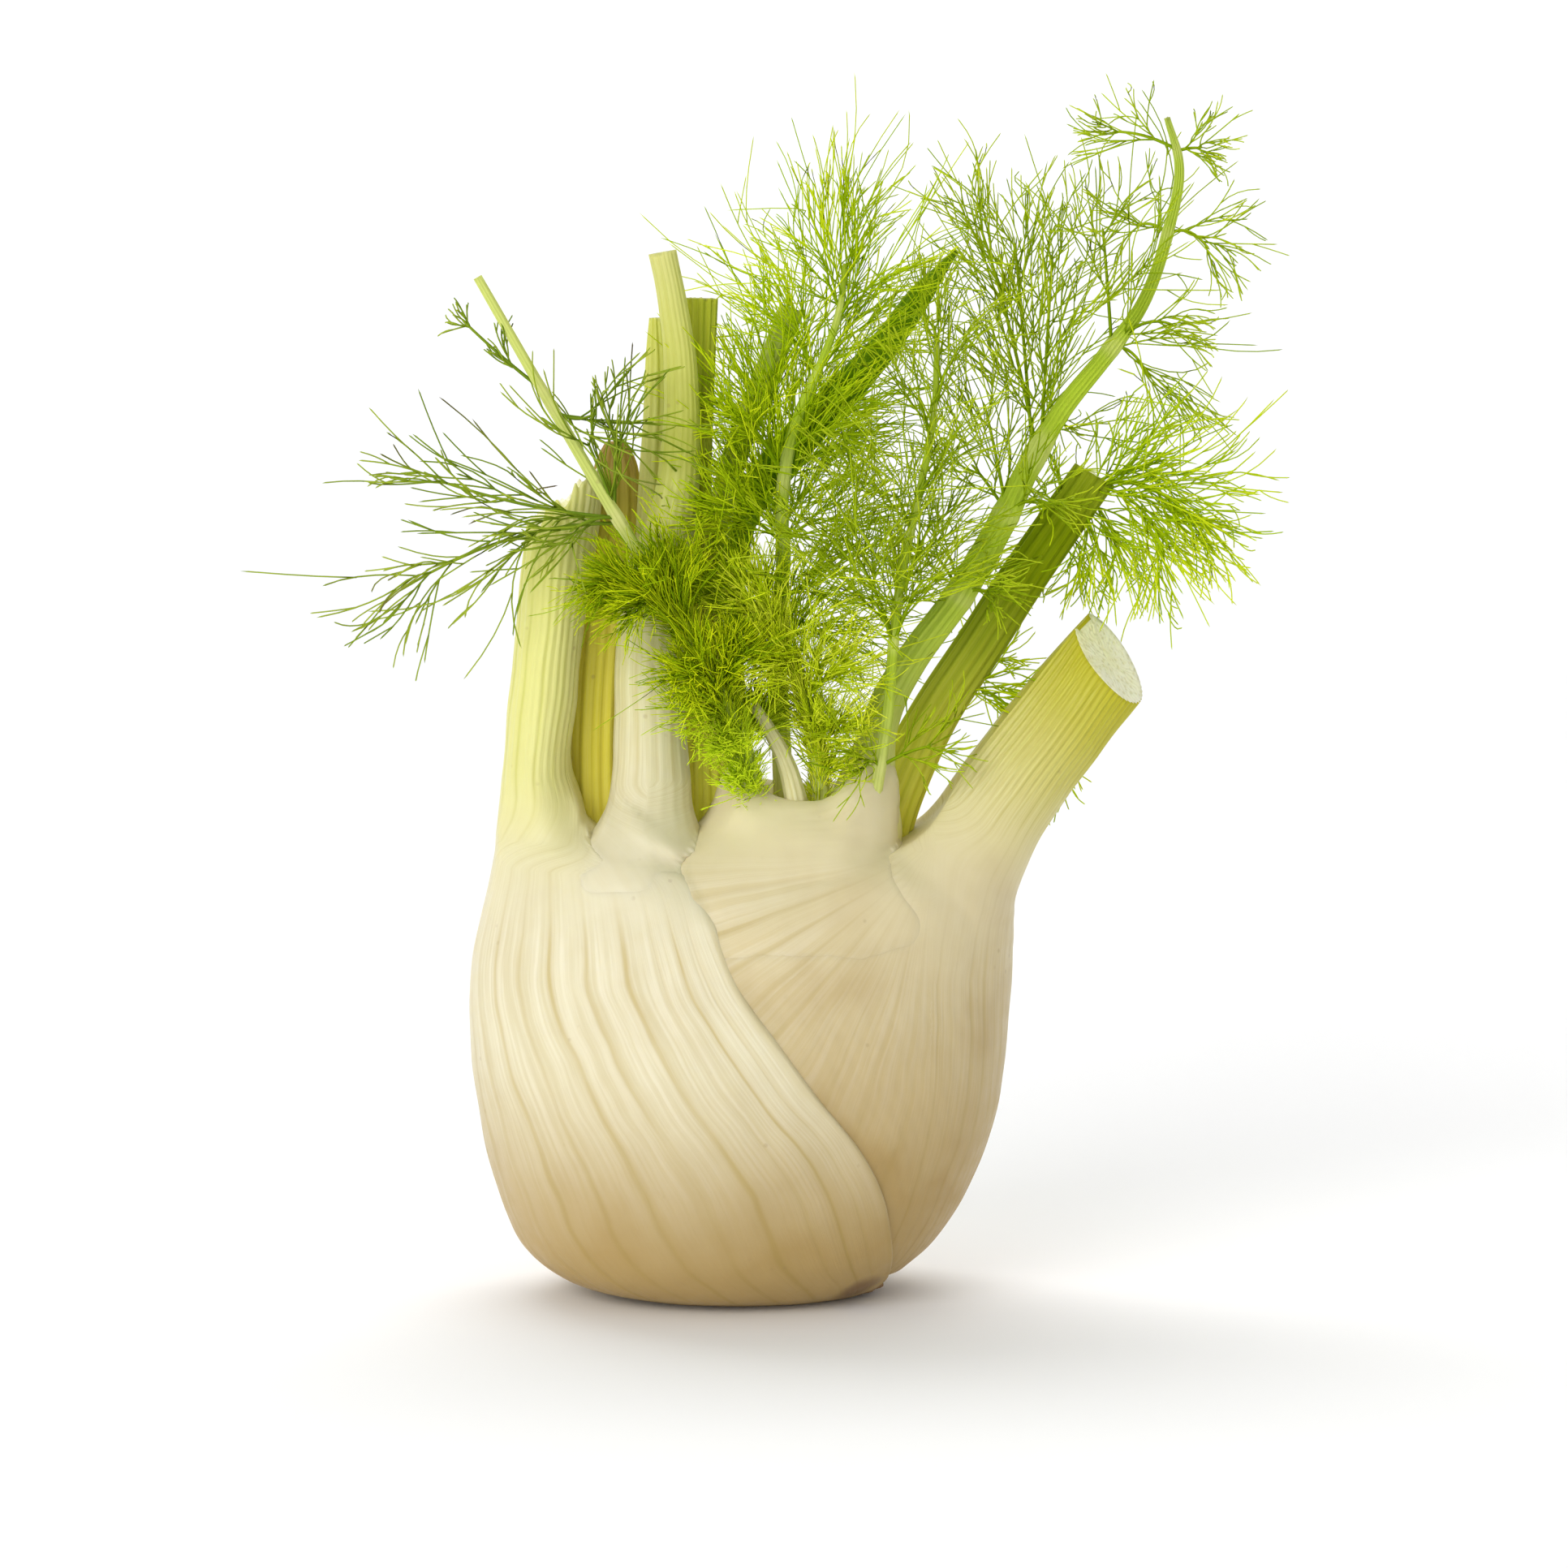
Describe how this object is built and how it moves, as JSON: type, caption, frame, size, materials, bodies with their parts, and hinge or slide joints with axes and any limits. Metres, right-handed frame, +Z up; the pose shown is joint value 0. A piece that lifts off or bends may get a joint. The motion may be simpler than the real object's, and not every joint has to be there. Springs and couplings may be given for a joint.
{
  "type": "fennel bulb",
  "caption": "Florence fennel bulb: overlapping ribbed cream leaf bases on a root plate, cut green stalks and feathery fronds above.",
  "frame": {"origin": "centre of the root plate's flat underside, which the bulb stands on", "axes": "+Z up along the stalks, -Y towards the bulb's broad front, +X to its right seen from the front"},
  "size_m": [0.1859, 0.0714, 0.2212],
  "materials": {
    "leaf_base_skin": "satin ivory leaf base with fine tan veins, slightly translucent",
    "root_scar": "dry brown trimmed root plate",
    "pale_stalk": "satin cream to yellow-green ribbed stalk",
    "green_stalk": "satin mid-green ribbed stalk",
    "olive_stalk": "dull olive stalk with a dry brown top",
    "frond_green": "bright green feathery leaf threads",
    "young_frond_green": "pale yellow-green young leaf threads",
    "dull_frond_green": "grey-green thin leaf threads"
  },
  "bodies": {
    "root": {"root_plate": "root_scar", "inner_sheath": "leaf_base_skin", "outer_left_leaf": "leaf_base_skin", "outer_right_leaf": "leaf_base_skin", "middle_stalk": "pale_stalk", "middle_stalk_left": "pale_stalk", "middle_stalk_right": "green_stalk", "olive_stalk": "olive_stalk", "rear_stalk_left": "green_stalk", "rear_stalk_right": "green_stalk", "tall_leaf": "frond_green", "green_leaf": "frond_green", "central_leaf": "frond_green", "slender_leaf": "frond_green", "young_front_leaf": "young_frond_green", "young_heart_leaf": "young_frond_green", "spike_leaf": "leaf_base_skin", "wispy_leaf": "dull_frond_green"}
  },
  "joints": []
}
